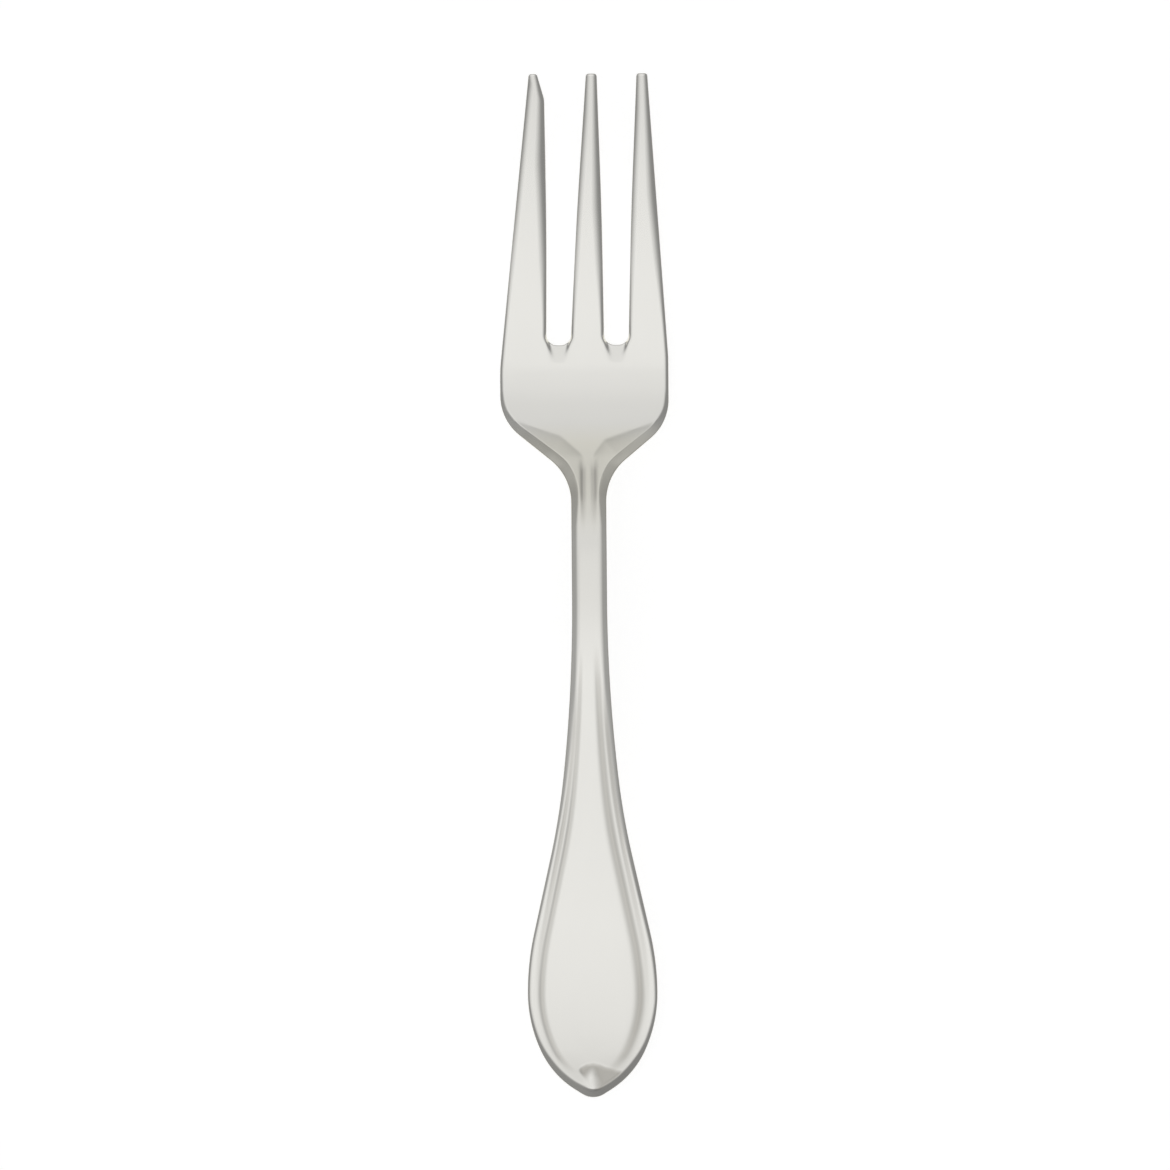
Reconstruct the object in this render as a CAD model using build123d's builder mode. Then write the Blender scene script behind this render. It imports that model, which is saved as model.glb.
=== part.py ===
from build123d import *
import os
from math import acos, cos, degrees, radians, sin, sqrt, tan

# Pastry fork of silver-plated nickel silver, lying face up on a table.
# Driving dimensions are in millimetres and degrees. In the plan, x runs across the fork from the
# handle's axis and y runs from the pointed handle end to the tine tips.

# Handle outline, from its point to the shaft
handle_width = 19.1  # across the widest place
arch_length = 15.33  # from the point to the widest place
arch_turn = 25.0  # degrees that the sides turn through below the widest place, before they tighten
point_angle = 58.0  # degrees between the axis and each side at the point
point_flat = 3.1  # straight sides, from where they would meet without the rounding
point_round = 3.0  # rounding of the point itself
waist_radius = 40.0  # sides above the widest place
taper_angle = 12.7  # degrees between the axis and the straight sides of the taper
flare_radius = 106.0  # hollow sides above the straight taper
flare_turn = 6.2  # degrees that the hollow sides turn through before they ease
ease_radius = 236.0  # hollow sides that run out into the shaft
shaft_width = 5.2
shaft_length = 17.7  # straight shaft, up to the corner where the shoulders start

# Head outline
neck_round = 8.0  # hollow corner between shaft and shoulder
left_shoulder = 51.0  # degrees between the axis and each shoulder
right_shoulder = 50.0
shoulder_round = 7.4  # outer corner between shoulder and side
plate_length = 19.34  # from the neck corner to the slot roots
left_taper = 3.5  # the sides start to narrow this far below the slot roots
right_taper = 1.9
side_round = 20.0
tine_length = 39.6
slot_width = 3.5  # at the root
slot_round = 1.5  # root corners of the slots
left_root = 6.9  # tine widths at the slot roots; the left tine is the broad cutting one
middle_root = 5.0
right_root = 5.9
left_tip = 1.25  # tine widths at the tips
middle_tip = 1.65
right_tip = 1.65
left_tip_x = -7.7  # tip centres, from the handle's axis
middle_tip_x = 0.875
right_tip_x = 8.275
tip_round = 0.45
slant_length = 3.7  # slanted inner side of the left tine's tip
slant_round = 4.0
tine_bow = 0.17  # the tines' sides beside the slots bulge by this much
bow_round = 600.0  # rounding at the middle of a bulging side

# Side view: heights of the back above the table, and thicknesses
handle_rest_y = 10.0  # where the handle's back comes lowest
arch_back = 11.0  # the stem arches highest this far below the neck corner
heel_back = 3.0  # the head's back comes lowest this far below the slot roots
end_lift = 0.45  # rise of the handle end above the handle's lowest place
arch_height = 6.0
tip_height = 8.0
tip_slope = 0.3  # rise of the tines per millimetre at their tips
end_thickness = 2.3
handle_thickness = 2.0
stem_thickness = 3.4
heel_thickness = 1.7
tip_thickness = 1.0
edge_round = 0.35  # all front and back edges

# Struck ornament on the front
border_width = 2.7  # from the handle's edge to its sunk field
field_depth = 0.2
thread_inset = 1.15  # from the edge to the groove that sets off the inner thread
thread_groove = 0.5
thread_depth = 0.12
drop_start = 1.3  # the raised drop at the point, along the axis
drop_length = 3.8
drop_width = 2.2
drop_rise = 0.35
ramp_length = 2.0  # sloped floor at each slot root
ramp_depth = 0.4
ramp_width = 1.9

# Silver
plate_thickness = 0.06
wear_thickness = 0.12  # extra deposit at the two places that touch the table
land_depth = 0.02  # flattened by polishing
heel_pad_length = 5.0
heel_pad_width = 14.0
handle_pad_length = 7.0
handle_pad_width = 9.0

# Places worked out from the sizes above
handle_half = handle_width / 2
shaft_half = shaft_width / 2
point_cut = point_round * (1 / sin(radians(point_angle)) - 1)
widest_y = arch_length

# The pointed end's sides are two arcs, an arch and a shoulder that tightens to the point. Together
# they cross what is left of the handle's half width and of the arch's length beside the straight part.
arch_across = 1 - cos(radians(arch_turn))
arch_along = sin(radians(arch_turn))
point_across = cos(radians(arch_turn)) - cos(radians(point_angle))
point_along = sin(radians(point_angle)) - sin(radians(arch_turn))
across = handle_half - point_flat * sin(radians(point_angle))
along = arch_length + point_cut - point_flat * cos(radians(point_angle))
spread = point_across * arch_along - arch_across * point_along
arch_radius = (point_across * along - point_along * across) / spread
point_radius = (arch_along * across - arch_across * along) / spread

# The straight taper takes up what the arcs leave of the fall from the handle's width to the shaft's.
taper_run = (
    handle_half
    - shaft_half
    - waist_radius * (1 - cos(radians(taper_angle)))
    - flare_radius * (cos(radians(taper_angle - flare_turn)) - cos(radians(taper_angle)))
    - ease_radius * (1 - cos(radians(taper_angle - flare_turn)))
) / sin(radians(taper_angle))
shaft_y = (
    widest_y
    + waist_radius * sin(radians(taper_angle))
    + taper_run * cos(radians(taper_angle))
    + flare_radius * (sin(radians(taper_angle)) - sin(radians(taper_angle - flare_turn)))
    + ease_radius * sin(radians(taper_angle - flare_turn))
)
neck_y = shaft_y + shaft_length
root_y = neck_y + plate_length
length = root_y + tine_length
arch_y = neck_y - arch_back
heel_y = root_y - heel_back
left_half = middle_root / 2 + slot_width + left_root
right_half = middle_root / 2 + slot_width + right_root
rest_height = wear_thickness - land_depth
edge_radius = min(edge_round, 0.45 * tip_thickness)

# The box around the fork is centred on the origin and stands on z = 0.
axis_x = (left_half - right_half) / 2

# Working planes: the plan lies below the fork, and the side view stands to its left.
margin = 5.0
plan_plane = Plane(origin=(axis_x, -length / 2, -margin))
side_plane = Plane(origin=(axis_x - left_half - margin, -length / 2, 0), x_dir=(0, 1, 0), z_dir=(1, 0, 0))
plan_reach = arch_height + stem_thickness + tip_height + 2 * margin
side_reach = left_half + right_half + 2 * margin

# The side view's curves pass these places, with a margin past both ends of the fork.
stations = (-margin, handle_rest_y, arch_y, heel_y, length + margin)
end_slope = -2 * end_lift / handle_rest_y
slopes = (end_slope, 0, 0, 0, tip_slope)
backs = (
    rest_height + end_lift - end_slope * margin,
    rest_height,
    arch_height,
    rest_height,
    tip_height + tip_slope * margin,
)
thicknesses = (end_thickness, handle_thickness, stem_thickness, heel_thickness, tip_thickness)


def back(rise=0.0):
    """Heights of the back at the stations, or of a curve that runs this far above it."""
    return [z + rise for z in backs]


def front(handle_rise=0.0, stem_rise=None):
    """Heights of the front at the stations, or of a curve above it that may rise on its way to the stem."""
    rises = [handle_rise if stem_rise is None or y <= handle_rest_y else stem_rise for y in stations]
    return [z + thick + rise for z, thick, rise in zip(backs, thicknesses, rises)]


def side_curve(heights):
    """A smooth curve of the side view, for the line that is being drawn."""
    return Spline(*zip(stations, heights), tangents=[(1, slope) for slope in slopes])


def handle_sides(inset):
    """Both sides of the handle from its point to the shaft, for the line that is being drawn."""
    arch = JernArc((handle_half - inset, widest_y), (0, -1), arch_radius - inset, -arch_turn)
    point = JernArc(arch @ 1, arch % 1, point_radius - inset, arch_turn - point_angle)
    Line(point @ 1, (0, inset / sin(radians(point_angle)) - point_cut))
    waist = JernArc((handle_half - inset, widest_y), (0, 1), waist_radius - inset, taper_angle)
    taper = Line(waist @ 1, waist @ 1 + waist % 1 * taper_run)
    flare = JernArc(taper @ 1, taper % 1, flare_radius + inset, -flare_turn)
    ease_turn = taper_angle - flare_turn
    if inset > shaft_half:
        # Sides that lie this far in meet on the axis before they reach the shaft.
        ease_turn -= degrees(acos(1 - (inset - shaft_half) / (ease_radius + inset)))
    JernArc(flare @ 1, flare % 1, ease_radius + inset, -ease_turn)
    mirror(about=Plane.YZ)


def round_point(sketch, inset):
    """Round the point of the handle in a sketch of its outline."""
    if inset < point_round:
        fillet(sketch.vertices().sort_by(Axis.Y)[0], point_round - inset)


def tip_radius(width):
    """The corner radius of a tine tip, which its width limits."""
    return min(tip_round, 0.45 * width)


def shoulder_corner(half, angle):
    """The corner where a shoulder meets the head's side, on the right."""
    return (half, neck_y + (half - shaft_half) / tan(radians(angle)))


def bow_corner(root_x, tip_x, tip_y, bow):
    """The corner at the middle of a tine's side, where it bulges into the slot."""
    return ((root_x + tip_x) / 2 + bow, (root_y + tip_y) / 2)


def head_outline(inset):
    """The head from the right of the shaft round to its left, for the line that is being drawn."""
    left_x, left_y = shoulder_corner(left_half, left_shoulder)
    slant_y = length - slant_length
    slot_in = middle_root / 2
    slot_out = slot_in + slot_width
    corners = [
        ((shaft_half, shaft_y), 0),
        ((shaft_half, neck_y), neck_round),
        (shoulder_corner(right_half, right_shoulder), shoulder_round),
        ((right_half, root_y - right_taper), side_round),
        ((right_tip_x + right_tip / 2, length), tip_radius(right_tip)),
        ((right_tip_x - right_tip / 2, length), tip_radius(right_tip)),
        (bow_corner(slot_out, right_tip_x - right_tip / 2, length, -tine_bow), bow_round),
        ((slot_out, root_y), slot_round),
        ((slot_in, root_y), slot_round),
        (bow_corner(slot_in, middle_tip_x + middle_tip / 2, length, tine_bow), bow_round),
        ((middle_tip_x + middle_tip / 2, length), tip_radius(middle_tip)),
        ((middle_tip_x - middle_tip / 2, length), tip_radius(middle_tip)),
        (bow_corner(-slot_in, middle_tip_x - middle_tip / 2, length, -tine_bow), bow_round),
        ((-slot_in, root_y), slot_round),
        ((-slot_out, root_y), slot_round),
        (bow_corner(-slot_out, -slot_out, slant_y, tine_bow), bow_round),
        ((-slot_out, slant_y), slant_round),
        ((left_tip_x + left_tip / 2, length), tip_radius(left_tip)),
        ((left_tip_x - left_tip / 2, length), tip_radius(left_tip)),
        ((-left_half, root_y - left_taper), side_round),
        ((-left_x, left_y), shoulder_round),
        ((-shaft_half, neck_y), neck_round),
        ((-shaft_half, shaft_y), 0),
    ]
    places = [Vector(*place) for place, _ in corners]
    ways = [(after - before).normalized() for before, after in zip(places, places[1:])]
    inward = [way.rotate(Axis.Z, 90) for way in ways]
    bends = []
    for (_, radius), place, one, other in zip(corners[1:-1], places[1:-1], inward, inward[1:]):
        # An outer corner tightens as the outline moves in, and a hollow one opens.
        outer = one.cross(other).Z > 0
        moved = place + (one + other) * (inset / (1 + one.dot(other)))
        bends.append((moved, radius - inset if outer else radius + inset))
    FilletPolyline(
        places[0] + inward[0] * inset,
        *[place for place, _ in bends],
        places[-1] + inward[-1] * inset,
        radius=[radius for _, radius in bends],
    )


def fork_plan(inset):
    """The whole fork's outline, moved in."""
    with BuildSketch(plan_plane) as sketch:
        with BuildLine():
            handle_sides(inset)
            head_outline(inset)
        make_face()
        round_point(sketch, inset)
    return sketch.sketch


def handle_plan(inset):
    """The handle's outline by itself, moved in."""
    with BuildSketch(plan_plane) as sketch:
        with BuildLine():
            handle_sides(inset)
            if inset < shaft_half:
                Line((inset - shaft_half, shaft_y), (shaft_half - inset, shaft_y))
        make_face()
        round_point(sketch, inset)
    return sketch.sketch


def slab(region, low, high):
    """The solid over a region of the plan, between two curves of the side view."""
    with BuildPart() as solid:
        extrude(region, amount=plan_reach)
        with BuildSketch(side_plane):
            with BuildLine():
                low_curve = side_curve(low)
                high_curve = side_curve(high)
                Line(low_curve @ 0, high_curve @ 0)
                Line(low_curve @ 1, high_curve @ 1)
            make_face()
        extrude(amount=side_reach, mode=Mode.INTERSECT)
    return solid.part


def thread_plan(skin):
    """The groove between the rim and the inner thread of the handle's border."""
    outer = handle_plan(thread_inset - skin)
    inner = handle_plan(thread_inset + thread_groove + skin)
    with BuildSketch(plan_plane) as sketch:
        add(plan_plane.to_local_coords(outer))
        add(plan_plane.to_local_coords(inner), mode=Mode.SUBTRACT)
    return sketch.sketch


def oval_plan(x, y, width, span):
    """An oval with its centre at a place of the plan."""
    with BuildSketch(plan_plane) as sketch:
        with Locations((x, y)):
            Ellipse(width / 2, span / 2)
    return sketch.sketch


def raised_drop(skin):
    """The raised drop at the handle's point."""
    middle = drop_start + drop_length / 2
    region = oval_plan(0, middle, drop_width - 2 * skin, drop_length - 2 * skin)
    body = slab(region, front(-handle_thickness / 2), front(drop_rise - skin))
    with BuildPart() as drop:
        add(body)
        fillet(drop.faces().sort_by(Axis.Z)[-1].edges(), drop_rise / 2)
    return drop.part


def slot_ramp(middle_x, skin):
    """What is cut away over the sloped floor at the root of a slot."""
    slope = ramp_depth / ramp_length
    sunk = skin * sqrt(1 + slope * slope)
    top_z = rest_height + heel_thickness - sunk
    half = ramp_width / 2 + skin
    with BuildPart() as ramp:
        with BuildSketch(side_plane.offset(left_half + margin + middle_x - half)):
            with BuildLine():
                Polyline(
                    (root_y - 2 * ramp_length, top_z + ramp_depth),
                    (root_y + slot_round, top_z - ramp_depth - slot_round * slope),
                    (root_y + slot_round, top_z + ramp_depth),
                    close=True,
                )
            make_face()
        extrude(amount=2 * half)
    return ramp.part


def struck_form(skin):
    """The fork's whole form, moved in by the skin on every side."""
    above = front(margin)
    body = slab(fork_plan(skin), back(skin), front(-skin))
    field = slab(handle_plan(border_width - skin), front(-field_depth - skin), above)
    thread = slab(thread_plan(skin), front(-thread_depth - skin, thread_depth / 2 - skin), above)
    slot_x = (middle_root + slot_width) / 2
    ramps = [slot_ramp(middle_x, skin) for middle_x in (-slot_x, slot_x)]
    drop = raised_drop(skin)
    with BuildPart() as form:
        add(body)
        broad_faces = form.faces().filter_by(lambda face: abs(face.normal_at().Z) > 0.5)
        fillet(broad_faces.edges(), edge_radius - skin)
        add([field, thread, *ramps], mode=Mode.SUBTRACT)
        add(drop)
    return form.part


def wear_pad(region):
    """An extra deposit under a region of the back, with a flat land where it touches the table."""
    deposit = slab(region, back(-wear_thickness), back())
    with BuildPart() as pad:
        add(deposit)
        split(bisect_by=Plane.XY, keep=Keep.TOP)
    return pad.part


os.makedirs("parts", exist_ok=True)

# Struck blank
core_form = struck_form(plate_thickness)
with BuildPart() as blank:
    add(core_form)
blank.part.label = "blank"
export_step(blank.part, "parts/blank.step")

# Silver plate around the blank
outer_form = struck_form(0.0)
with BuildPart() as silver_plate:
    add(outer_form)
    add(blank.part, mode=Mode.SUBTRACT)
silver_plate.part.label = "silver_plate"
export_step(silver_plate.part, "parts/silver_plate.step")

# Wear pads under the heel of the head and under the handle
heel_deposit = wear_pad(oval_plan(-axis_x, heel_y, heel_pad_width, heel_pad_length))
with BuildPart() as heel_wear_pad:
    add(heel_deposit)
heel_wear_pad.part.label = "heel_wear_pad"
export_step(heel_wear_pad.part, "parts/heel_wear_pad.step")

handle_deposit = wear_pad(oval_plan(0, handle_rest_y, handle_pad_width, handle_pad_length))
with BuildPart() as handle_wear_pad:
    add(handle_deposit)
handle_wear_pad.part.label = "handle_wear_pad"
export_step(handle_wear_pad.part, "parts/handle_wear_pad.step")
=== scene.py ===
from cmath import phase, rect
from math import cos, hypot, radians, sin, tan

import bmesh
import bpy
import numpy as np
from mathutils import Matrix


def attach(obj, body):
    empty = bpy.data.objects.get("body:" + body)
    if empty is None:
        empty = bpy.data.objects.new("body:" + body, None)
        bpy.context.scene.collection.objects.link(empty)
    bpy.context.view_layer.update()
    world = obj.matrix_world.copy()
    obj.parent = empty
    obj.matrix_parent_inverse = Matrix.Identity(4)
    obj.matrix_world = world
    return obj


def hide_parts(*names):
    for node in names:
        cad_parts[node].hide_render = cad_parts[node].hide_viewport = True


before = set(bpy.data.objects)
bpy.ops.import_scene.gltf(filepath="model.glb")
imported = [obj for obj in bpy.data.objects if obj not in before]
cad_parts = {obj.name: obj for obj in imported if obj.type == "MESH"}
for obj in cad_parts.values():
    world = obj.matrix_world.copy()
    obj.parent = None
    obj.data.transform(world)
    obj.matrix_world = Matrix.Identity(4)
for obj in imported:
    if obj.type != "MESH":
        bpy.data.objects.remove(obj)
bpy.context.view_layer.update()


def table(names, *rows):
    """Values at places along the fork: a column of numbers for each name, the first being the place."""
    return dict(zip(names.split(), np.array(rows, dtype=float).T))


PER_METRE = 1000  # millimetres

# Sizes of the fork in millimetres and degrees, the same as its solids have. In the plan, x runs across
# the fork from the handle's axis, and y runs from the handle's point to the tine tips.

# Handle outline
HANDLE_HALF = 9.55
ARCH_LENGTH = 15.33
ARCH_TURN = 25.0
POINT_ANGLE = 58.0
POINT_FLAT = 3.1
POINT_ROUND = 3.0
WAIST_RADIUS = 40.0
TAPER_ANGLE = 12.7
FLARE_RADIUS = 106.0
FLARE_TURN = 6.2
EASE_RADIUS = 236.0
SHAFT_HALF = 2.6
SHAFT_LENGTH = 17.7

# Head outline
NECK_ROUND = 8.0
LEFT_SHOULDER = 51.0
RIGHT_SHOULDER = 50.0
SHOULDER_ROUND = 7.4
PLATE_LENGTH = 19.34
LEFT_TAPER = 3.5
RIGHT_TAPER = 1.9
SIDE_ROUND = 20.0
TINE_LENGTH = 39.6
SLOT_IN = 2.5  # from the axis to the slots' inner sides
SLOT_OUT = 6.0
SLOT_ROUND = 1.5
LEFT_HALF = 12.9
RIGHT_HALF = 11.9
LEFT_TIP = (-8.325, -7.075)  # both sides of each tine at its tip
MIDDLE_TIP = (0.05, 1.7)
RIGHT_TIP = (7.45, 9.1)
TIP_ROUND = 0.45
SLANT_LENGTH = 3.7
SLANT_ROUND = 4.0
TINE_BOW = 0.17
BOW_ROUND = 600.0

# Side view: where its curves turn, the back's heights there and the thicknesses
MARGIN = 5.0
HANDLE_REST = 10.0
ARCH_BACK = 11.0
HEEL_BACK = 3.0
END_LIFT = 0.45
REST_HEIGHT = 0.1
ARCH_HEIGHT = 6.0
TIP_HEIGHT = 8.0
TIP_SLOPE = 0.3
THICKNESSES = (2.3, 2.0, 3.4, 1.7, 1.0)
PLATE_THICKNESS = 0.06

# Polished slope along the front edge, at places along the fork: its width, how much narrower it is on
# the left and wider on the right, the share of it that is straight, its tilt, how much steeper it is on
# the left, and how fast the rest eases into the flat
EDGES = table(
    "place width skew straight tilt steeper ease",
    (0, 1.55, 0, 0.7, 38, 0, 2),
    (5, 1.3, 0, 0.6, 38, 0, 2),
    (8, 0.95, 0, 0.5, 38, 0, 2),
    (14, 0.65, 0, 0.45, 37, 0, 2),
    (39, 0.9, 0.25, 0.6, 33, 2, 2),
    (52, 1.25, 0.1, 0.62, 31.5, 3, 2),
    (58, 1.45, 0, 0.5, 31, 3, 2),
    (66, 1.65, 0, 0.4, 30, 3, 2),
    (84, 1.6, 0, 0.42, 30, 3, 2),
    (88, 1.5, 0, 0.68, 30.5, 3, 2),
    (91, 1.65, 0, 0.92, 31, 3.5, 2),
    (92.5, 1.75, 0, 0.96, 34.5, 5, 2),
    (94.5, 1.5, 0, 0.98, 40, 6, 2),
    (97, 1.3, 0, 0.98, 42.5, 6, 2),
    (99, 1.2, 0, 0.9, 40.5, 4, 2),
    (101, 1.0, 0, 0.65, 38, 1, 2),
    (104, 0.75, 0, 0.5, 37, 0, 2),
    (113, 0.75, 0.05, 0.4, 36, 0, 2),
    (122, 1.1, 0.2, 0.15, 32, 0, 1),
    (130, 1.3, 0.25, 0.15, 35, 0, 1),
    (137, 1.45, 0.3, 0.1, 38, 0, 1),
    (145, 1.5, 0.3, 0.1, 40, 0, 1),
)
CRISP = 0.9  # from this straight share on, the slope meets the flat at a sharp line
SLOPE_LIMIT = 0.9  # as a share of the way to the middle line
BACK_WIDTH = 0.9
BACK_STRAIGHT = 0.1
BACK_TILT = 45.0
BACK_EASE = 2.0
CORNER = 0.06  # rounding between an edge slope and the side wall

# Thread border of the handle, at places along it: the distance from the edge and the depth of its outer
# groove, and the distance, the depth and the width of its inner one
BORDER = table(
    "place outer_inset outer_depth inner_inset inner_depth inner_width",
    (3.5, 1.55, 0, 2.2, 0, 0.5),
    (6, 1.55, 0, 2.2, 0.09, 0.5),
    (10, 1.55, 0, 2.28, 0.12, 0.5),
    (15, 1.55, 0.02, 2.32, 0.13, 0.5),
    (20, 1.5, 0.04, 2.38, 0.12, 0.5),
    (39, 0.95, 0.12, 2.1, 0.12, 0.46),
    (54, 1.0, 0.09, 1.75, 0.11, 0.38),
    (61, 1.0, 0, 1.6, 0.08, 0.34),
    (66, 0.95, 0, 1.6, 0, 0.34),
)
OUTER_WIDTH = 0.34
INSET_SKEW = 0.1  # on the left the inner groove is nearer to the edge, narrower and shallower
WIDTH_SKEW = 0.25
DEPTH_SKEW = 0.15

# Field inside the border: sunk along the groove and crowned towards the axis
FIELD_DEPTH = 0.07
FIELD_STEP = 0.6
FIELD_CROWN = 3.8
FIELD_START = (3.5, 7.0)
FIELD_END = (35.0, 55.0)

# Hollow at the handle's point: the arch of its upper edge as places across the axis with their heights
# along it, its left edge, and how far it stays from the outline
ARCH_X = (-2.6, -1.8, -0.9, 0.0, 0.9, 1.8, 4.3)
ARCH_Y = (3.8, 4.7, 5.15, 5.3, 5.1, 4.75, 4.15)
HOLLOW_LEFT = (-2.55, 4.2)
HOLLOW_LEAN = 0.75
HOLLOW_WALL = 0.8
HOLLOW_RIM = (1.0, 1.5)
HOLLOW_STAIN_AND_SHADE = (0.9, 1.15)  # the tarnish and painted shade come nearer to the outline
HOLLOW_FADE = (0.8, 4.5)  # it gets shallower to the right
HOLLOW_DEPTH = 0.16
HOLLOW_SHALLOW = 0.12

# Drop that rises in the hollow, at places along it: its middle and its half width
DROP = table(
    "place middle half",
    (1.2, 0.0, 0.95),
    (2.3, -0.38, 1.25),
    (3.5, -0.3, 0.85),
    (4.8, -0.05, 0.55),
)
DROP_RIM = (0.9, 1.4)
DROP_HEAD = (2.9, 5.2)
DROP_RISE = 0.1

# Neck: a ridge between two grooves. Above it the plate's face ends in a V, and a wing rises from each
# side of the V towards the shoulder.
RIDGE_GROOVE = 0.82
RIDGE_GROOVE_WIDTH = 0.34
RIDGE_PLACES = (83.5, 88.5, 92.2, 94)
RIDGE_DEPTHS = (0, 0.1, 0.1, 0)
WING_START = 93.6
WING_INNER = 0.42
WING_CORNER = (3.2, 96.8)
WING_OPENINGS = (1.15, 0.8)  # on the left and on the right
WING_BLEND = 0.5
WING_TOP = 0.345
WING_SLOPES = (0.15, 0.19)
WING_RISE = 0.4
WING_FOOT = (83.5, 89.0)

# Sloped floors at the slot roots
RAMP_LENGTH = 2.6
RAMP_DEPTH = 0.45
RAMP_EASE = 1.2
RAMP_HALF = 0.4
RAMP_OPENING = 0.3
RAMP_WALL = 0.6
RAMP_EDGE = 0.75  # how much of the edge slope the ramps take away
RAMP_FADE = (0.75, 2.25)  # they end this far up the slots

# Tarnish and painted shade: tarnish, dark enough to paint shade as well, deepest in the relief; painted
# shade along the handle's point, the shaft and the neck; and a warm tint at the neck
DEEPEST = 0.17  # relief this deep has the most of it
PAINTED_SHADE_PLACES = (3, 7, 18, 26, 62, 68, 74, 80, 84, 88, 91, 94, 97)
PAINTED_SHADE_SHARES = (0.28, 0.17, 0.08, 0, 0, 0.1, 0.25, 0.25, 0.15, 0.22, 0.2, 0.05, 0)
WARM_PLACES = (82, 89, 96, 99)
WARM_SHARES = (0, 1, 1, 0)

# Mesh
EDGE_COLUMNS = 8
BORDER_COLUMNS = 16
INNER_COLUMNS = 22
EDGE_LEAST = 0.02
BORDER_REACH = 2.9
COLUMN_REACH = 3.8
BACK_COLUMNS = 12
WALL_ROWS = 4
EDGE_SPACING = 1.5
BACK_SPACING = 1.6
MERGE_DISTANCE = 1e-6
ON_AXIS = 1e-9  # a direction with less than this across the axis runs along it

# Picture
PICTURE_WIDTH = 171.47
PICTURE_X = -0.142
PICTURE_Y = 0.178
PICTURE_TURN = -0.464
CAMERA_HEIGHT = 2.5
CAMERA_LEVEL = 0.005  # the height at which the picture is that wide
SENSOR = 36.0


def line(length, steps):
    """A straight run of an outline."""
    return (length, 0.0, steps)


def arc(radius, turn, steps):
    """A round run of an outline, which turns left by so many degrees, or right if they are negative."""
    return (radius * abs(radians(turn)), radians(turn), steps)


def walk(place, way, runs):
    """Stations along a chain of runs: each place in the plan with the direction of travel there."""
    stations = [(place, way)]
    for length, turn, steps in runs:
        for step in range(1, steps + 1):
            swing = rect(1, turn * step / steps)
            if turn:
                reach = way * (swing - 1) * length / (1j * turn)
            else:
                reach = way * length * step / steps
            stations.append((place + reach, way * swing))
        place, way = stations[-1]
    return stations


def rounded(corners):
    """Runs along straight lines with rounded corners. A corner has a place, a radius and its steps, and
    the steps of the line that follows it."""
    places = [corner[0] for corner in corners]
    ways = [(after - before) / abs(after - before) for before, after in zip(places, places[1:])]
    turns = [0.0] + [phase(after / before) for before, after in zip(ways, ways[1:])] + [0.0]
    cuts = [corner[1] * tan(abs(turn) / 2) for corner, turn in zip(corners, turns)]
    runs = []
    for i in range(len(corners) - 1):
        radius, steps, line_steps = corners[i][1:]
        if steps:
            runs.append((radius * abs(turns[i]), turns[i], steps))
        runs.append(line(abs(places[i + 1] - places[i]) - cuts[i] - cuts[i + 1], line_steps))
    return runs


def smooth(values, start, end):
    """A share that rises smoothly from 0 at start to 1 at end."""
    share = np.clip((values - start) / (end - start), 0, 1)
    return share * share * (3 - 2 * share)


def bump(values, middle, width):
    """A smooth hump of height 1."""
    return np.exp(-(((values - middle) / width) ** 2))


# Places worked out from the sizes
point_half = 90 - POINT_ANGLE
point_cut = POINT_ROUND * (1 / sin(radians(POINT_ANGLE)) - 1)
arch_across = 1 - cos(radians(ARCH_TURN))
arch_along = sin(radians(ARCH_TURN))
point_across = cos(radians(ARCH_TURN)) - cos(radians(POINT_ANGLE))
point_along = sin(radians(POINT_ANGLE)) - sin(radians(ARCH_TURN))
crosswise = HANDLE_HALF - POINT_FLAT * sin(radians(POINT_ANGLE))
lengthwise = ARCH_LENGTH + point_cut - POINT_FLAT * cos(radians(POINT_ANGLE))
spread = point_across * arch_along - arch_across * point_along
arch_radius = (point_across * lengthwise - point_along * crosswise) / spread
point_radius = (arch_along * crosswise - arch_across * lengthwise) / spread
ease_turn = TAPER_ANGLE - FLARE_TURN
taper_fall = (
    HANDLE_HALF
    - SHAFT_HALF
    - WAIST_RADIUS * (1 - cos(radians(TAPER_ANGLE)))
    - FLARE_RADIUS * (cos(radians(ease_turn)) - cos(radians(TAPER_ANGLE)))
    - EASE_RADIUS * (1 - cos(radians(ease_turn)))
)
taper_run = taper_fall / sin(radians(TAPER_ANGLE))

# Steps along the handle's runs, closest round the hollow and the drop
POINT_STEPS = 10
FLAT_STEPS = 10
HOLLOW_STEPS = 36
ARCH_STEPS = 12
WAIST_STEPS = 10
TAPER_STEPS = 12
FLARE_STEPS = 12
EASE_STEPS = 20

# The handle's right side from its point to the shaft, and the left side as its mirror image
handle_runs = [
    arc(POINT_ROUND, point_half, POINT_STEPS),
    line(POINT_FLAT - POINT_ROUND * tan(radians(point_half)), FLAT_STEPS),
    arc(point_radius, POINT_ANGLE - ARCH_TURN, HOLLOW_STEPS),
    arc(arch_radius, ARCH_TURN, ARCH_STEPS),
    arc(WAIST_RADIUS, TAPER_ANGLE, WAIST_STEPS),
    line(taper_run, TAPER_STEPS),
    arc(FLARE_RADIUS, -FLARE_TURN, FLARE_STEPS),
    arc(EASE_RADIUS, -ease_turn, EASE_STEPS),
]
right_handle = walk(0j, 1 + 0j, handle_runs)
left_handle = [(-place.conjugate(), way.conjugate()) for place, way in reversed(right_handle)]
shaft_y = right_handle[-1][0].imag
neck_y = shaft_y + SHAFT_LENGTH
root_y = neck_y + PLATE_LENGTH
fork_length = root_y + TINE_LENGTH
axis_x = (LEFT_HALF - RIGHT_HALF) / 2

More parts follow.
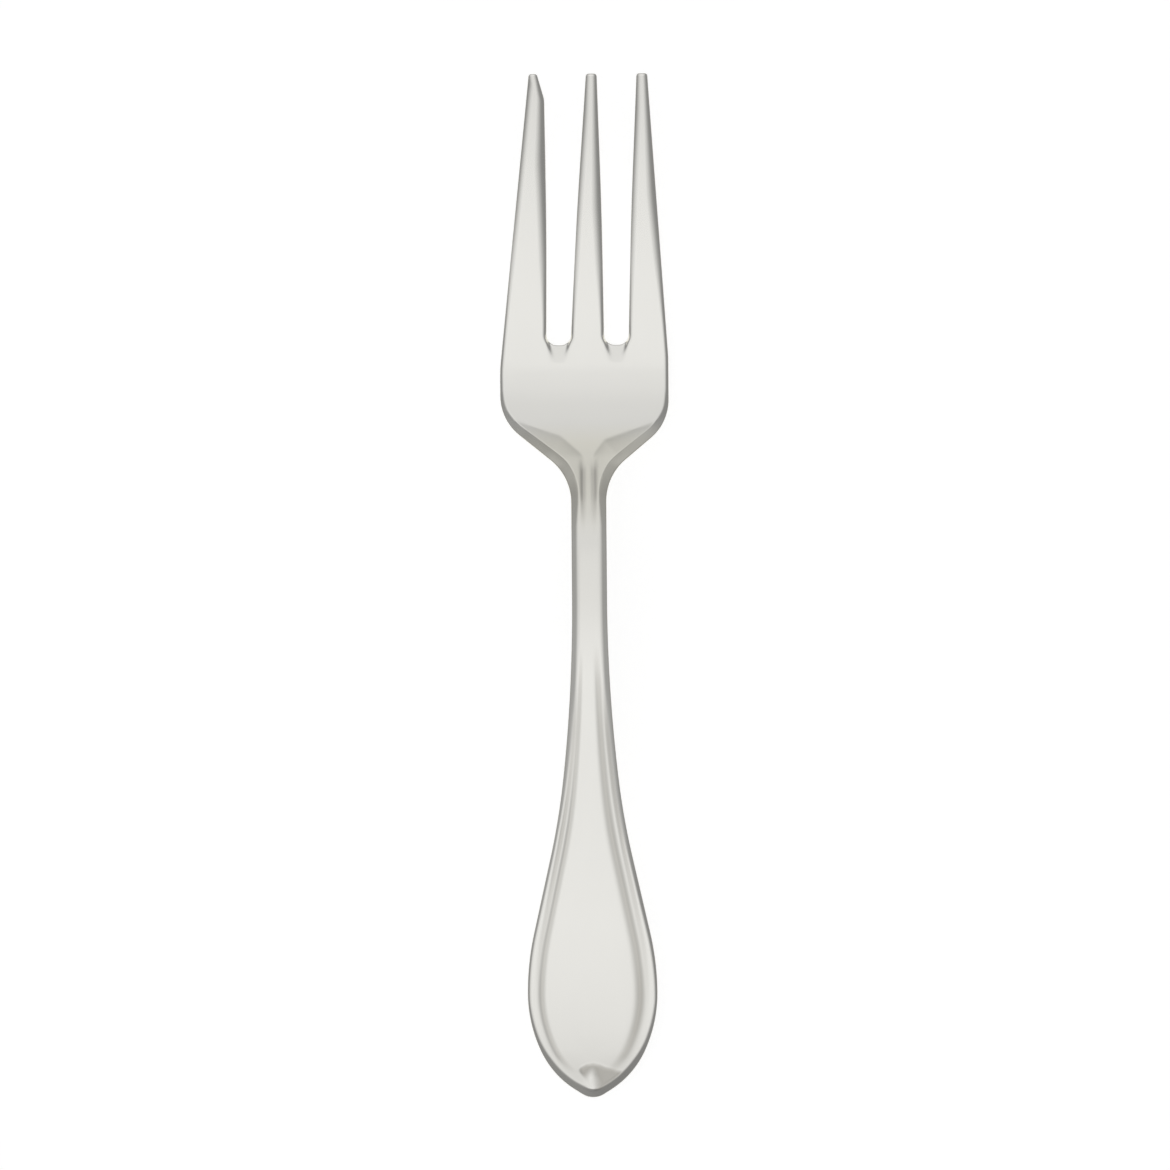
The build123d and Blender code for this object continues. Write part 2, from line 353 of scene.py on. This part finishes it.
# Steps along the head's runs. Runs that face each other across the same middle line share a count.
SHAFT_STEPS = 8
NECK_STEPS = 22
SHOULDER_STEPS = 26
ROUND_STEPS = 12
BOW_STEPS = 8
HALF_TINE_STEPS = 11
TINE_STEPS = 2 * HALF_TINE_STEPS + BOW_STEPS
SLANT_STEPS = 4
SLANT_BOW_STEPS = 6
HALF_SLANT_STEPS = (TINE_STEPS - 2 * SLANT_STEPS - SLANT_BOW_STEPS) // 2
TIP_STEPS = 4
SLOT_STEPS = 14
ROOT_STEPS = 6
SIDE_ROUND_STEPS = 2
MIDDLE_STEPS = SLOT_STEPS // 2
BRANCH_STEPS = 2 * SLOT_STEPS + ROOT_STEPS - MIDDLE_STEPS
SIDE_STEPS = BRANCH_STEPS - SIDE_ROUND_STEPS

left_side_y = root_y - LEFT_TAPER
right_side_y = root_y - RIGHT_TAPER
slant_y = fork_length - SLANT_LENGTH


def tip_corners(sides, last_steps):
    """The two corners of a tine tip with its middle between them, from one side to the other."""
    centre = (sides[0] + sides[1]) / 2
    return [
        (complex(sides[0], fork_length), TIP_ROUND, TIP_STEPS, 1),
        (complex(centre, fork_length), 0, 0, 1),
        (complex(sides[1], fork_length), TIP_ROUND, TIP_STEPS, last_steps),
    ]


def left_side_at(y):
    """A place on the outer side of the left tine."""
    share = (y - left_side_y) / (fork_length - left_side_y)
    return complex(-LEFT_HALF + (LEFT_TIP[0] + LEFT_HALF) * share, y)


def shoulder_corner(half, angle):
    """The corner between a shoulder and the side of the head."""
    return complex(half, neck_y + (abs(half) - SHAFT_HALF) / tan(radians(angle)))


def bowed(root_x, tip_x, bow, tip_y=fork_length, steps=BOW_STEPS, line_steps=HALF_TINE_STEPS):
    """The corner at the middle of a tine's side, where it bulges into the slot."""
    return (complex((root_x + tip_x) / 2 + bow, (root_y + tip_y) / 2), BOW_ROUND, steps, line_steps)


head_corners = [
    (complex(SHAFT_HALF, shaft_y), 0, 0, SHAFT_STEPS),
    (complex(SHAFT_HALF, neck_y), NECK_ROUND, NECK_STEPS, SHOULDER_STEPS),
    (shoulder_corner(RIGHT_HALF, RIGHT_SHOULDER), SHOULDER_ROUND, ROUND_STEPS, SIDE_STEPS),
    (complex(RIGHT_HALF, right_side_y), SIDE_ROUND, SIDE_ROUND_STEPS, TINE_STEPS),
    *tip_corners(RIGHT_TIP[::-1], HALF_TINE_STEPS),
    bowed(SLOT_OUT, RIGHT_TIP[0], -TINE_BOW),
    (complex(SLOT_OUT, root_y), SLOT_ROUND, SLOT_STEPS, ROOT_STEPS),
    (complex(SLOT_IN, root_y), SLOT_ROUND, SLOT_STEPS, HALF_TINE_STEPS),
    bowed(SLOT_IN, MIDDLE_TIP[1], TINE_BOW),
    *tip_corners(MIDDLE_TIP[::-1], HALF_TINE_STEPS),
    bowed(-SLOT_IN, MIDDLE_TIP[0], -TINE_BOW),
    (complex(-SLOT_IN, root_y), SLOT_ROUND, SLOT_STEPS, ROOT_STEPS),
    (complex(-SLOT_OUT, root_y), SLOT_ROUND, SLOT_STEPS, HALF_SLANT_STEPS),
    bowed(-SLOT_OUT, -SLOT_OUT, TINE_BOW, slant_y, SLANT_BOW_STEPS, HALF_SLANT_STEPS),
    (complex(-SLOT_OUT, slant_y), SLANT_ROUND, SLANT_STEPS, SLANT_STEPS),
    *tip_corners(LEFT_TIP[::-1], 2 * SLANT_STEPS),
    (left_side_at(slant_y), 0, 0, TINE_STEPS - 2 * SLANT_STEPS),
    (complex(-LEFT_HALF, left_side_y), SIDE_ROUND, SIDE_ROUND_STEPS, SIDE_STEPS),
    (shoulder_corner(-LEFT_HALF, LEFT_SHOULDER), SHOULDER_ROUND, ROUND_STEPS, SHOULDER_STEPS),
    (complex(-SHAFT_HALF, neck_y), NECK_ROUND, NECK_STEPS, SHAFT_STEPS),
    (complex(-SHAFT_HALF, shaft_y), 0, 0, 0),
]
head = walk(head_corners[0][0], 1j, rounded(head_corners))


def spaced(waypoints):
    """Places along straight stretches. A waypoint has a place and the steps that lead to it."""
    places = [waypoints[0][0]]
    for place, steps in waypoints[1:]:
        start = places[-1]
        places += [start + (place - start) * step / steps for step in range(1, steps + 1)]
    return places


def middle_line(one_side, other_side):
    """Places halfway between two sides of a tine."""
    return [(one[0] + other[0]) / 2 for one, other in zip(one_side, other_side)]


# Middle lines that the head's stations look to: up the shaft to the centre of the plate, from there to
# the roots of the tines, and along each tine to its tip.
neck_start = SHAFT_STEPS
trunk_steps = SHAFT_STEPS + NECK_STEPS + SHOULDER_STEPS + ROUND_STEPS
tip_steps = TIP_STEPS + 1
tine_start = trunk_steps + BRANCH_STEPS
right_tip_at = tine_start + TINE_STEPS + tip_steps
slot_span = 2 * (tip_steps + TINE_STEPS) + BRANCH_STEPS + MIDDLE_STEPS
middle_tip_at = right_tip_at + slot_span
left_tip_at = middle_tip_at + slot_span

right_outer = head[tine_start:tine_start + TINE_STEPS + 1]
right_inner = head[right_tip_at + tip_steps:right_tip_at + tip_steps + TINE_STEPS + 1][::-1]
middle_right = head[middle_tip_at - tip_steps - TINE_STEPS:middle_tip_at - tip_steps + 1]
middle_left = head[middle_tip_at + tip_steps:middle_tip_at + tip_steps + TINE_STEPS + 1][::-1]
left_inner = head[left_tip_at - tip_steps - TINE_STEPS:left_tip_at - tip_steps + 1]
left_outer = head[left_tip_at + tip_steps:left_tip_at + tip_steps + TINE_STEPS + 1][::-1]
right_line = middle_line(right_outer, right_inner)
centre_line = middle_line(middle_right, middle_left)
left_line = middle_line(left_outer, left_inner)

# Where those lines bend: along the axis above the neck, at the centre of the plate below the slots, and
# beside the axis and below the slots on the way to the outer tines
NECK_BEND = 3.0
SHOULDER_BEND = 10.5
CENTRE_BEND = 4.8
INNER_BEND = (2.9, 4.2)
OUTER_BEND = (6.2, 3.8)

plate_centre = complex(0, root_y - CENTRE_BEND)
trunk = [complex(0, place.imag) for place, _ in head[:neck_start + 1]]
trunk += spaced([
    (trunk[-1], 0),
    (complex(0, neck_y + NECK_BEND), NECK_STEPS),
    (complex(0, neck_y + SHOULDER_BEND), SHOULDER_STEPS),
    (plate_centre, ROUND_STEPS),
])[1:]


def branch(side, root):
    """The middle line from the centre of the plate to the root of an outer tine."""
    return spaced([
        (plate_centre, 0),
        (complex(side * INNER_BEND[0], root_y - INNER_BEND[1]), SLOT_STEPS - MIDDLE_STEPS),
        (complex(side * OUTER_BEND[0], root_y - OUTER_BEND[1]), ROOT_STEPS),
        (root, SLOT_STEPS),
    ])


right_branch = branch(1, right_line[0])
left_branch = branch(-1, left_line[0])
centre_branch = spaced([(plate_centre, 0), (centre_line[0], MIDDLE_STEPS)])


def joined(*chains):
    """Chains that share their ends, as one."""
    places = list(chains[0])
    for chain in chains[1:]:
        places += chain[1:]
    return places


def to_tip(chain):
    """A tine's middle line with the stations round its tip, which all look to its end."""
    return list(chain) + [chain[-1]] * tip_steps


up_right = joined(right_branch, to_tip(right_line))
up_centre = joined(centre_branch, to_tip(centre_line))
up_left = joined(left_branch, to_tip(left_line))
head_middles = joined(
    trunk, up_right, up_right[::-1], up_centre, up_centre[::-1], up_left, up_left[::-1], trunk[::-1]
)


def handle_middles(chain):
    """Where the handle's stations look to: straight in from the edge to the axis."""
    places = []
    for place, way in chain:
        look = 1j * way
        if abs(look.real) < ON_AXIS:
            places.append(complex(0, POINT_ROUND))
        else:
            places.append(complex(0, (place - look * place.real / look.real).imag))
    return places


# The whole outline as one closed chain, counter-clockwise from the handle's point
stations = right_handle + head[1:] + left_handle[1:-1]
middles = handle_middles(right_handle) + head_middles[1:] + handle_middles(left_handle)[1:-1]
outline = np.array([place for place, _ in stations])
inward = np.array([1j * way for _, way in stations])
middle = np.array(middles)

# Side view
curve_y = np.array([-MARGIN, HANDLE_REST, neck_y - ARCH_BACK, root_y - HEEL_BACK, fork_length + MARGIN])
end_slope = -2 * END_LIFT / HANDLE_REST
curve_slopes = np.array([end_slope, 0, 0, 0, TIP_SLOPE])
back_heights = np.array([
    REST_HEIGHT + END_LIFT - end_slope * MARGIN,
    REST_HEIGHT,
    ARCH_HEIGHT,
    REST_HEIGHT,
    TIP_HEIGHT + TIP_SLOPE * MARGIN,
])
front_heights = back_heights + np.array(THICKNESSES)


def side_curve(y, heights):
    """Height of a smooth curve of the side view."""
    at = np.clip(np.searchsorted(curve_y, y) - 1, 0, len(curve_y) - 2)
    span = curve_y[at + 1] - curve_y[at]
    share = (y - curve_y[at]) / span
    rest = 1 - share
    start = heights[at] * (1 + 2 * share) + curve_slopes[at] * span * share
    end = heights[at + 1] * (1 + 2 * rest) - curve_slopes[at + 1] * span * rest
    return start * rest * rest + end * share * share


def along(values, name, y):
    """A value of a table at places along the fork."""
    return np.interp(y, values["place"], values[name])


def edge_fall(distance, width, straight, tilt, ease):
    """How far an edge slope falls away: a straight slope along the edge that eases into the flat."""
    straight_width = width * straight
    ease_width = width - straight_width
    left = np.clip((width - distance) / ease_width, 0, 1)
    fall = ease_width * left ** (ease + 1) / (ease + 1) + np.clip(straight_width - distance, 0, None)
    corner = np.clip(1 - distance / CORNER, 0, 1)
    return np.tan(np.radians(tilt)) * fall + CORNER * corner**2


def border_depth(y, distance, side):
    """Depth of the two grooves of the handle's thread border, and of the field inside them."""
    outer_inset = along(BORDER, "outer_inset", y)
    inner_inset = along(BORDER, "inner_inset", y) * (1 - INSET_SKEW * side)
    inner_width = along(BORDER, "inner_width", y) * (1 - WIDTH_SKEW * side)
    inner_depth = along(BORDER, "inner_depth", y) * (1 - DEPTH_SKEW * side)
    grooves = along(BORDER, "outer_depth", y) * bump(distance, outer_inset, OUTER_WIDTH)
    grooves += inner_depth * bump(distance, inner_inset, inner_width)
    strength = smooth(y, *FIELD_START) * (1 - smooth(y, *FIELD_END))
    step = smooth(distance, inner_inset - FIELD_STEP, inner_inset)
    crown = smooth(distance, inner_inset, inner_inset + FIELD_CROWN)
    field = FIELD_DEPTH * strength * (step - crown)
    on_handle = y < shaft_y
    return np.where(on_handle, grooves, 0), np.where(on_handle, field, 0)


def drop_height(x, y, distance):
    """The raised drop at the handle's point, the depth of the hollow round it, and the hollow's
    tarnish, which paints its shade as well.
    """
    from_left = x - HOLLOW_LEFT[0] - HOLLOW_LEAN * (HOLLOW_LEFT[1] - y)
    hollow = smooth(np.interp(x, ARCH_X, ARCH_Y) - y, 0, HOLLOW_WALL)
    hollow = hollow * smooth(from_left, 0, HOLLOW_WALL)
    hollow = hollow * (HOLLOW_DEPTH + (HOLLOW_SHALLOW - HOLLOW_DEPTH) * smooth(x, *HOLLOW_FADE))
    drop = bump(x, along(DROP, "middle", y), along(DROP, "half", y))
    drop = drop * smooth(distance, *DROP_RIM) * (1 - smooth(y, *DROP_HEAD))
    hollow = hollow * (1 - drop)
    depth = hollow * smooth(distance, *HOLLOW_RIM)
    # Tarnish and painted shade in the hollow
    stain_and_shade = hollow * smooth(distance, *HOLLOW_STAIN_AND_SHADE)
    return DROP_RISE * drop, depth, stain_and_shade


def ridge_depth(x, y):
    """Depth of the grooves beside the neck's ridge."""
    return np.interp(y, RIDGE_PLACES, RIDGE_DEPTHS) * bump(abs(x), RIDGE_GROOVE, RIDGE_GROOVE_WIDTH)


def wing_height(x, y):
    """The wings beside the V at the neck, and the threads that they run out into along the shaft."""
    opening = np.where(x < 0, *WING_OPENINGS)
    slope = np.where(x < 0, *WING_SLOPES)
    beyond = (y - WING_START) * opening - WING_INNER
    inner = WING_INNER + (beyond + np.hypot(beyond, WING_BLEND)) / 2
    outside = (abs(x) - inner) / np.hypot(1, opening)
    below = (WING_CORNER[1] + WING_TOP * (abs(x) - WING_CORNER[0]) - y) / hypot(1, WING_TOP)
    inside = np.clip(np.minimum(outside, below), 0, None)
    rise = WING_RISE * (1 - np.exp(-inside * slope / WING_RISE))
    return rise * smooth(y, *WING_FOOT)


def ramp_share(x, y):
    """Where the sloped floors at the slot roots are, from 0 outside them to 1 on them."""
    from_slot = abs(abs(x) - (SLOT_IN + SLOT_OUT) / 2)
    half = RAMP_HALF + RAMP_OPENING * (y - root_y + RAMP_LENGTH)
    within = 1 - smooth(from_slot, half, half + RAMP_WALL)
    return within * (1 - smooth(y - root_y, *RAMP_FADE))


def ramp_depth(x, y):
    """Depth of the sloped floors at the slot roots."""
    reach = np.clip((y - root_y + RAMP_LENGTH) / RAMP_LENGTH, 0, 1)
    return RAMP_DEPTH * reach**RAMP_EASE * ramp_share(x, y)


def column_shares(spans, straight):
    """Shares of the way from the edge to the middle line at which the front's columns stand: close
    together on the straight part of the edge slope and across the border, wider inside it."""
    edge = np.outer(straight, (np.arange(EDGE_COLUMNS) / EDGE_COLUMNS) ** EDGE_SPACING)
    reach = BORDER_REACH * np.minimum(1, spans / COLUMN_REACH)
    border = straight[:, None] + np.outer(reach - straight, np.linspace(0, 1, BORDER_COLUMNS))
    near = np.concatenate([edge, border], axis=1) / spans[:, None]
    last = near[:, -1:]
    inner = last + (1 - last) * np.arange(1, INNER_COLUMNS + 1) / INNER_COLUMNS
    return np.concatenate([near, inner], axis=1)


def columns(shares, skin):
    """Places of the columns in the plan, and their distances from the edge. A column's line leaves the
    edge at a right angle and bends to the middle line."""
    start = (outline + inward * skin)[:, None]
    away = inward[:, None]
    to_middle = middle[:, None] - start
    span = abs(to_middle)
    reach = (1 - shares) * away * span * shares + to_middle * shares * shares
    distance = (reach * away.conjugate()).real + skin
    return start + reach, distance


def sheet_faces(offset, rows, upward):
    """Faces of a sheet whose columns run from the outline to the middle lines."""
    count = len(outline)
    faces = []
    for station in range(count):
        here = offset + station * rows
        there = offset + (station + 1) % count * rows
        for column in range(rows - 1):
            face = (here + column, there + column, there + column + 1, here + column + 1)
            faces.append(face if upward else face[::-1])
    return faces


def wall_faces(front_rows, back_at, back_rows, wall_at):
    """Faces of the side wall, between the outlines of the front and the back."""
    ladders = []
    for station in range(len(outline)):
        first = wall_at + station * (WALL_ROWS - 1)
        steps = range(first, first + WALL_ROWS - 1)
        ladders.append([station * front_rows, *steps, back_at + station * back_rows])
    faces = []
    for here, there in zip(ladders, ladders[1:] + ladders[:1]):
        for row in range(WALL_ROWS):
            faces.append((here[row + 1], there[row + 1], there[row], here[row]))
    return faces


def front_sheet(skin):
    """The front: its places in the plan, with the height, the tarnish and painted shade and the warm
    tint there, and the stations at which its edge slope ends in a sharp line."""
    spans = abs(middle - outline - inward * skin)
    half = spans[:, None]
    side = inward.real[:, None]
    edge_y = outline.imag[:, None]
    straight = along(EDGES, "straight", edge_y)
    tilt = along(EDGES, "tilt", edge_y) + along(EDGES, "steeper", edge_y) * side
    slope_width = along(EDGES, "width", edge_y) * (1 - along(EDGES, "skew", edge_y) * side)
    slope_width = np.minimum(slope_width, SLOPE_LIMIT * half)
    shares = column_shares(spans, np.maximum(slope_width * straight - skin, EDGE_LEAST)[:, 0])
    place, distance = columns(shares, skin)
    x, y = place.real, place.imag
    grooves, field = border_depth(y, distance, side)
    drop, hollows, stains_and_shade = drop_height(x, y, distance)
    ridge_grooves = ridge_depth(x, y)
    slope_width = slope_width * (1 - RAMP_EDGE * ramp_share(x, y))
    fall = edge_fall(shares * half + skin, slope_width, straight, tilt, along(EDGES, "ease", edge_y))
    sunk = fall + grooves + field + hollows + ridge_grooves + ramp_depth(x, y)
    height = side_curve(y, front_heights) - sunk + drop + wing_height(x, y) - skin
    # Painted shade: the colour darkens along the handle's point, the shaft and the neck, though not on
    # the raised drop
    darker = np.interp(y, PAINTED_SHADE_PLACES, PAINTED_SHADE_SHARES) * (1 - drop / DROP_RISE)
    # The grooves and hollows get tarnish that is dark enough to paint their shade as well
    tarnish_and_shade = np.clip((grooves + stains_and_shade + ridge_grooves) / DEEPEST + darker, 0, 1)
    warm = np.interp(y, WARM_PLACES, WARM_SHARES)
    return place, height, tarnish_and_shade, warm, np.flatnonzero(straight >= CRISP).tolist()


def back_sheet(skin):
    """The back: its places in the plan, with the height there."""
    spans = abs(middle - outline - inward * skin)
    shares = (np.arange(BACK_COLUMNS + 1) / BACK_COLUMNS) ** BACK_SPACING
    place, distance = columns(np.tile(shares, (len(outline), 1)), skin)
    slope_width = np.minimum(BACK_WIDTH, SLOPE_LIMIT * spans[:, None])
    rise = edge_fall(distance, slope_width, BACK_STRAIGHT, BACK_TILT, BACK_EASE)
    return place, side_curve(place.imag, back_heights) + rise + skin


def fork_mesh(name, skin):
    """The whole fork as one closed mesh, moved in by the skin on every side."""
    place, front, tarnish_and_shade, warm, crisp = front_sheet(skin)
    back_place, back = back_sheet(skin)
    wall_shares = np.arange(1, WALL_ROWS) / WALL_ROWS
    wall = front[:, :1] + (back[:, :1] - front[:, :1]) * wall_shares
    wall_place = np.repeat(place[:, :1], WALL_ROWS - 1, axis=1)
    plan = np.concatenate([place.ravel(), back_place.ravel(), wall_place.ravel()])
    heights = np.concatenate([front.ravel(), back.ravel(), wall.ravel()])
    points = np.stack([plan.real + axis_x, plan.imag - fork_length / 2, heights], axis=1) / PER_METRE
    count, front_rows = place.shape
    back_rows = back_place.shape[1]
    back_at = place.size
    wall_at = back_at + back_place.size
    faces = sheet_faces(0, front_rows, True) + sheet_faces(back_at, back_rows, False)
    faces += wall_faces(front_rows, back_at, back_rows, wall_at)

    mesh = bpy.data.meshes.new(name)
    mesh.from_pydata(points.tolist(), [], faces, shade_flat=False)
    # The hollow share holds the tarnish and the painted shade
    for mark, values in (("hollow", tarnish_and_shade), ("warm", warm)):
        shares = np.zeros(len(points), dtype=np.float32)
        shares[:values.size] = values.ravel()
        mesh.attributes.new(mark, "FLOAT", "POINT").data.foreach_set("value", shares)
    shape = bmesh.new()
    shape.from_mesh(mesh)
    shape.verts.ensure_lookup_table()
    for station in crisp:
        rungs = (station, (station + 1) % count)
        ends = [shape.verts[rung * front_rows + EDGE_COLUMNS] for rung in rungs]
        shape.edges.get(ends).smooth = False
    bmesh.ops.remove_doubles(shape, verts=shape.verts, dist=MERGE_DISTANCE)
    shape.to_mesh(mesh)
    shape.free()
    return mesh


def fork_piece(name, node, skin, material):
    """A piece of the fork in place of one of the solids."""
    piece = bpy.data.objects.new(name, fork_mesh(name, skin))
    bpy.context.scene.collection.objects.link(piece)
    piece.data.materials.append(material)
    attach(piece, "root")
    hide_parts(node)


# Silver's surface: the noise of its faint clouding and of its polishing marks
NOISE_LOW = 0.3
NOISE_HIGH = 0.7
CLOUD_SCALE = 60.0
CLOUD_STRETCH = (1, 1, 1)
CLOUD_DETAIL = 2.0
MARK_SCALE = 700.0
MARK_STRETCH = (4, 0.1, 4)
MARK_DETAIL = 3.0
MARK_STRENGTH = 0.05
MARK_DISTANCE = 0.00001


def node_tree(owner):
    """The nodes and the links of a material or a world."""
    owner.use_nodes = True
    return owner.node_tree.nodes, owner.node_tree.links


def ramp(nodes, low, high):
    """A colour ramp across the middle of a noise's range."""
    node = nodes.new("ShaderNodeValToRGB")
    first, last = node.color_ramp.elements
    first.position = NOISE_LOW
    first.color = (*low, 1)
    last.position = NOISE_HIGH
    last.color = (*high, 1)
    return node


def stretched_noise(nodes, links, scale, stretch, detail):
    """Noise in the object's own coordinates, drawn out along some axes."""
    coordinates = nodes.new("ShaderNodeTexCoord")
    mapping = nodes.new("ShaderNodeMapping")
    mapping.inputs["Scale"].default_value = stretch
    noise = nodes.new("ShaderNodeTexNoise")
    noise.inputs["Scale"].default_value = scale
    noise.inputs["Detail"].default_value = detail
    links.new(coordinates.outputs["Object"], mapping.inputs["Vector"])
    links.new(mapping.outputs["Vector"], noise.inputs["Vector"])
    return noise


def stained(nodes, links, base, attribute, colour):
    """A colour that is mixed in where an attribute of the mesh says so."""
    share = nodes.new("ShaderNodeAttribute")
    share.attribute_name = attribute
    mix = nodes.new("ShaderNodeMix")
    mix.data_type = "RGBA"
    mix.inputs["B"].default_value = (*colour, 1)
    links.new(share.outputs["Fac"], mix.inputs["Factor"])
    links.new(base, mix.inputs["A"])
    return mix.outputs["Result"]


def silver_material(name, bright, darker, warm, tarnish_and_shade, rough):
    """Softly polished silver: faint clouding, polishing marks along the fork, a warm tint at the neck
    and tarnish with painted shade in the hollows, and painted shade along the point, the shaft and the
    neck."""
    material = bpy.data.materials.new(name)
    nodes, links = node_tree(material)
    shader = nodes["Principled BSDF"]
    shader.inputs["Metallic"].default_value = 1.0
    cloud = stretched_noise(nodes, links, CLOUD_SCALE, CLOUD_STRETCH, CLOUD_DETAIL)
    tone = ramp(nodes, darker, bright)
    links.new(cloud.outputs["Fac"], tone.inputs["Fac"])
    tinted = stained(nodes, links, tone.outputs["Color"], "warm", warm)
    # Tarnish and painted shade, where the mesh's hollow share says
    tinted = stained(nodes, links, tinted, "hollow", tarnish_and_shade)
    links.new(tinted, shader.inputs["Base Color"])
    marks = stretched_noise(nodes, links, MARK_SCALE, MARK_STRETCH, MARK_DETAIL)
    roughness = nodes.new("ShaderNodeMapRange")
    roughness.inputs["From Min"].default_value = NOISE_LOW
    roughness.inputs["From Max"].default_value = NOISE_HIGH
    roughness.inputs["To Min"].default_value = rough[0]
    roughness.inputs["To Max"].default_value = rough[1]
    links.new(marks.outputs["Fac"], roughness.inputs["Value"])
    links.new(roughness.outputs["Result"], shader.inputs["Roughness"])
    relief = nodes.new("ShaderNodeBump")
    relief.inputs["Strength"].default_value = MARK_STRENGTH
    relief.inputs["Distance"].default_value = MARK_DISTANCE
    links.new(marks.outputs["Fac"], relief.inputs["Height"])
    links.new(relief.outputs["Normal"], shader.inputs["Normal"])
    return material


silver = silver_material(
    "silver",
    bright=(0.915, 0.905, 0.865),
    darker=(0.90, 0.89, 0.85),
    warm=(0.92, 0.90, 0.815),
    # colour of the tarnish and the painted shade
    tarnish_and_shade=(0.53, 0.515, 0.475),
    rough=(0.13, 0.17),
)
nickel_silver = silver_material(
    "nickel_silver",
    bright=(0.80, 0.77, 0.70),
    darker=(0.75, 0.72, 0.65),
    warm=(0.76, 0.72, 0.63),
    # colour of the tarnish and the painted shade
    tarnish_and_shade=(0.68, 0.64, 0.56),
    rough=(0.30, 0.42),
)

fork_piece("silver_coat", "silver_plate", 0.0, silver)
fork_piece("struck_blank", "blank", PLATE_THICKNESS, nickel_silver)
for node in ("heel_wear_pad", "handle_wear_pad"):
    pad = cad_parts[node]
    pad.data.materials.clear()
    pad.data.materials.append(silver)

# Camera straight above the fork
camera = bpy.data.objects.new("camera", bpy.data.cameras.new("camera"))
bpy.context.scene.collection.objects.link(camera)
camera.location = (PICTURE_X / PER_METRE, PICTURE_Y / PER_METRE, CAMERA_LEVEL + CAMERA_HEIGHT)
camera.rotation_euler = (0, 0, radians(PICTURE_TURN))
camera.data.sensor_width = SENSOR
camera.data.lens = SENSOR * CAMERA_HEIGHT * PER_METRE / PICTURE_WIDTH
bpy.context.scene.camera = camera

# White floor, which keeps the fork's shadow. Its glow shows to the camera and in the silver alone.
FLOOR_HALF = 6.0
FLOOR_DROP = 0.00002
FLOOR_CORNERS = ((-1, -1), (1, -1), (1, 1), (-1, 1))
FLOOR_COLOUR = (0.5, 0.5, 0.5, 1)
FLOOR_GLOW = 0.72
floor_mesh = bpy.data.meshes.new("floor")
floor_points = [(x * FLOOR_HALF, y * FLOOR_HALF, -FLOOR_DROP) for x, y in FLOOR_CORNERS]
floor_mesh.from_pydata(floor_points, [], [(0, 1, 2, 3)])
floor = bpy.data.objects.new("floor", floor_mesh)
bpy.context.scene.collection.objects.link(floor)
paper = bpy.data.materials.new("paper")
nodes, links = node_tree(paper)
nodes.remove(nodes["Principled BSDF"])
matte = nodes.new("ShaderNodeBsdfDiffuse")
matte.inputs["Color"].default_value = FLOOR_COLOUR
path = nodes.new("ShaderNodeLightPath")
mirrored = nodes.new("ShaderNodeMath")
mirrored.operation = "MAXIMUM"
seen = nodes.new("ShaderNodeMath")
seen.operation = "MAXIMUM"
floor_level = nodes.new("ShaderNodeMath")
floor_level.operation = "MULTIPLY"
floor_level.inputs[1].default_value = FLOOR_GLOW
floor_light = nodes.new("ShaderNodeEmission")
both = nodes.new("ShaderNodeAddShader")
links.new(path.outputs["Is Glossy Ray"], mirrored.inputs[0])
links.new(path.outputs["Is Transmission Ray"], mirrored.inputs[1])
links.new(path.outputs["Is Camera Ray"], seen.inputs[0])
links.new(mirrored.outputs["Value"], seen.inputs[1])
links.new(seen.outputs["Value"], floor_level.inputs[0])
links.new(floor_level.outputs["Value"], floor_light.inputs["Strength"])
links.new(matte.outputs["BSDF"], both.inputs[0])
links.new(floor_light.outputs["Emission"], both.inputs[1])
links.new(both.outputs["Shader"], nodes["Material Output"].inputs["Surface"])
floor_mesh.materials.append(paper)

# Soft studio dome, brightest overhead and a little to the left, with two soft glows: one above the
# handle's end, and one beyond the tines. A glow has its direction, the cosine that it reaches out to
# and its level.
DOME_COLOUR = (1.0, 1.0, 1.0, 1)
DOME_LOW = 0.26
DOME_HIGH = 0.83
DOME_LEAN = (-0.12, 0.0, 0.99)
DOME_FOOT = 0.25
DOME_TOP = 1.05
GLOWS = (
    ((0.0, -0.225, 0.974), 0.93, 0.075),
    ((0.0, 0.766, 0.643), 0.94, 0.075),
)
world = bpy.data.worlds.new("studio")
bpy.context.scene.world = world
nodes, links = node_tree(world)
direction = nodes.new("ShaderNodeTexCoord")
facing = nodes.new("ShaderNodeVectorMath")
facing.operation = "DOT_PRODUCT"
facing.inputs[1].default_value = DOME_LEAN
strength = nodes.new("ShaderNodeMapRange")
strength.interpolation_type = "SMOOTHSTEP"
strength.inputs["From Min"].default_value = DOME_FOOT
strength.inputs["From Max"].default_value = DOME_TOP
strength.inputs["To Min"].default_value = DOME_LOW
strength.inputs["To Max"].default_value = DOME_HIGH
links.new(direction.outputs["Generated"], facing.inputs[0])
links.new(facing.outputs["Value"], strength.inputs["Value"])
light = strength.outputs["Result"]
for lean, reach, level in GLOWS:
    towards = nodes.new("ShaderNodeVectorMath")
    towards.operation = "DOT_PRODUCT"
    towards.inputs[1].default_value = lean
    glow = nodes.new("ShaderNodeMapRange")
    glow.interpolation_type = "SMOOTHSTEP"
    glow.inputs["From Min"].default_value = reach
    glow.inputs["To Max"].default_value = level
    total = nodes.new("ShaderNodeMath")
    total.operation = "ADD"
    links.new(direction.outputs["Generated"], towards.inputs[0])
    links.new(towards.outputs["Value"], glow.inputs["Value"])
    links.new(light, total.inputs[0])
    links.new(glow.outputs["Result"], total.inputs[1])
    light = total.outputs["Value"]
links.new(light, nodes["Background"].inputs["Strength"])
nodes["Background"].inputs["Color"].default_value = DOME_COLOUR

bpy.context.scene.view_settings.view_transform = "Standard"
